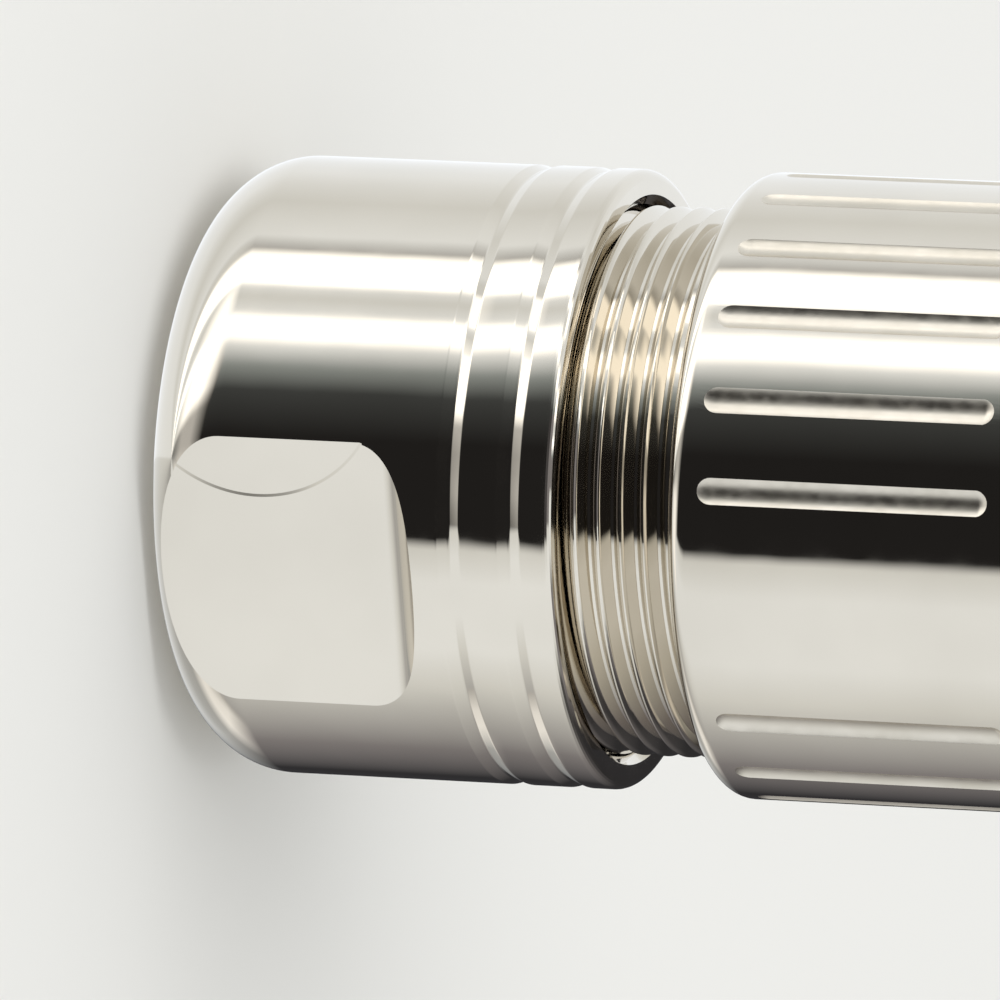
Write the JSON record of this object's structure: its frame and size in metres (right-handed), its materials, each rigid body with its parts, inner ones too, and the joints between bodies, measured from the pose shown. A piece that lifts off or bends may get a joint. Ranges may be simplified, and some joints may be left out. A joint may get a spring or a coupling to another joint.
{
  "type": "circular connector plug",
  "caption": "Straight circular cable plug: fluted nickel body, screwed clamping nut with wrench flats and ring grooves, turning coupling nut, pin contacts in a keyed nose.",
  "frame": {"origin": "on the plug's axis, in the plane of the clamping nut's rear face, which the plug stands on", "axes": "+Z along the plug's axis, from the cable end to the mating end; -Y through the middle of one plain panel of the fluted grip"},
  "size_m": [0.0262, 0.0262, 0.0569],
  "materials": {
    "nickel_plated_brass": "polished",
    "nickel_satin": "satin",
    "gold_contacts": "gloss",
    "insulator": "satin",
    "seal_rubber": "matte",
    "cage_nylon": "satin",
    "washer_acetal": "satin"
  },
  "bodies": {
    "plug_body": {"body_shell": "nickel_plated_brass", "shield_clamp_ring": "nickel_satin", "spacer_sleeve": "insulator", "insert_rear": "insulator", "insert_front": "insulator", "front_sleeve": "nickel_satin", "nose_o_ring": "seal_rubber", "nut_damping_ring": "seal_rubber", "sleeve_o_ring": "seal_rubber", "contact_pin_01": "gold_contacts", "contact_pin_02": "gold_contacts", "contact_pin_03": "gold_contacts", "contact_pin_04": "gold_contacts", "contact_pin_05": "gold_contacts", "contact_pin_06": "gold_contacts", "contact_pin_07": "gold_contacts", "contact_pin_08": "gold_contacts", "contact_pin_09": "gold_contacts", "contact_pin_10": "gold_contacts", "contact_pin_11": "gold_contacts", "contact_pin_12": "gold_contacts"},
    "gland": {"seal_cage": "cage_nylon", "cable_seal": "seal_rubber", "thrust_washer": "washer_acetal", "braid_ring": "nickel_satin"},
    "rear_nut": {"clamping_nut": "nickel_plated_brass"},
    "front_nut": {"coupling_nut": "nickel_plated_brass"}
  },
  "joints": [
    {"name": "gland_slide", "type": "slide", "parent": "plug_body", "child": "gland", "axis": [0, 0, 1], "range_m": [-0.0025, 0.003]},
    {"name": "clamping_nut_turn", "type": "hinge", "parent": "gland", "child": "rear_nut", "pos_m": [0, 0, 0.01], "axis": [0, 0, 1], "range_deg": [-900, 1080]},
    {"name": "coupling_nut_turn", "type": "hinge", "parent": "plug_body", "child": "front_nut", "pos_m": [0, 0, 0.045], "axis": [0, 0, 1], "continuous": true}
  ],
  "couplings": [
    {"joint": "gland_slide", "follows": "clamping_nut_turn", "m_per_rad": 0.00015915}
  ]
}
